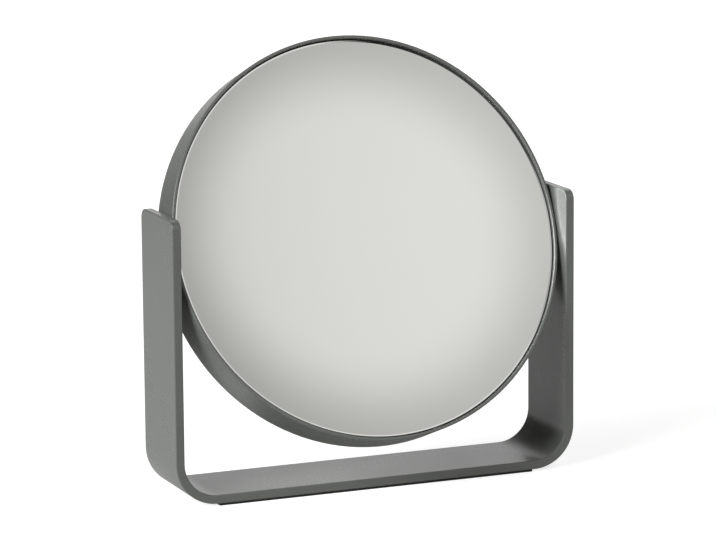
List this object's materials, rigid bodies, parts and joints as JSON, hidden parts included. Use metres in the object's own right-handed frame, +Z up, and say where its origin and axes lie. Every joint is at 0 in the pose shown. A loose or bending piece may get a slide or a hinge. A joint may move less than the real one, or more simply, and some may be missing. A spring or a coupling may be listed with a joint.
{
  "type": "magnifying mirror",
  "caption": "Round two-sided magnifying table mirror in a slim painted hoop, tilting on hidden friction pivots between the arms of a U-shaped flat-bar stand.",
  "frame": {"origin": "middle of the foot on the table, under the pivot line", "axes": "+Z up, +X from the left arm to the right arm as seen from the front, and the magnifying side faces -Y"},
  "size_m": [0.19, 0.0828, 0.1963],
  "materials": {
    "paint": "satin powder coat, olive grey",
    "pad": "matte black anti-slip rubber",
    "mirror": "silvered glass, polished, ground bevel",
    "steel": "zinc plated",
    "nylon": "black nylon",
    "moulding": "black moulded plastic",
    "foam": "closed-cell foam tape"
  },
  "bodies": {
    "stand": {"stand_frame": "paint", "base_pad": "pad", "left_arm_insert": "steel", "left_pivot_screw": "steel", "left_backing_washer": "steel", "left_spring_washer": "steel", "right_arm_insert": "steel", "right_pivot_screw": "steel", "right_backing_washer": "steel", "right_spring_washer": "steel"},
    "mirror": {"mirror_ring": "paint", "carrier_ring": "moulding", "magnifying_glass": "mirror", "plain_glass": "mirror", "front_tape": "foam", "rear_tape": "foam", "left_pivot_bush": "nylon", "left_friction_disc": "nylon", "right_pivot_bush": "nylon", "right_friction_disc": "nylon"}
  },
  "joints": [
    {"name": "mirror_tilt", "type": "hinge", "parent": "stand", "child": "mirror", "pos_m": [0, 0, 0.10801], "axis": [1, 0, 0], "continuous": true}
  ]
}
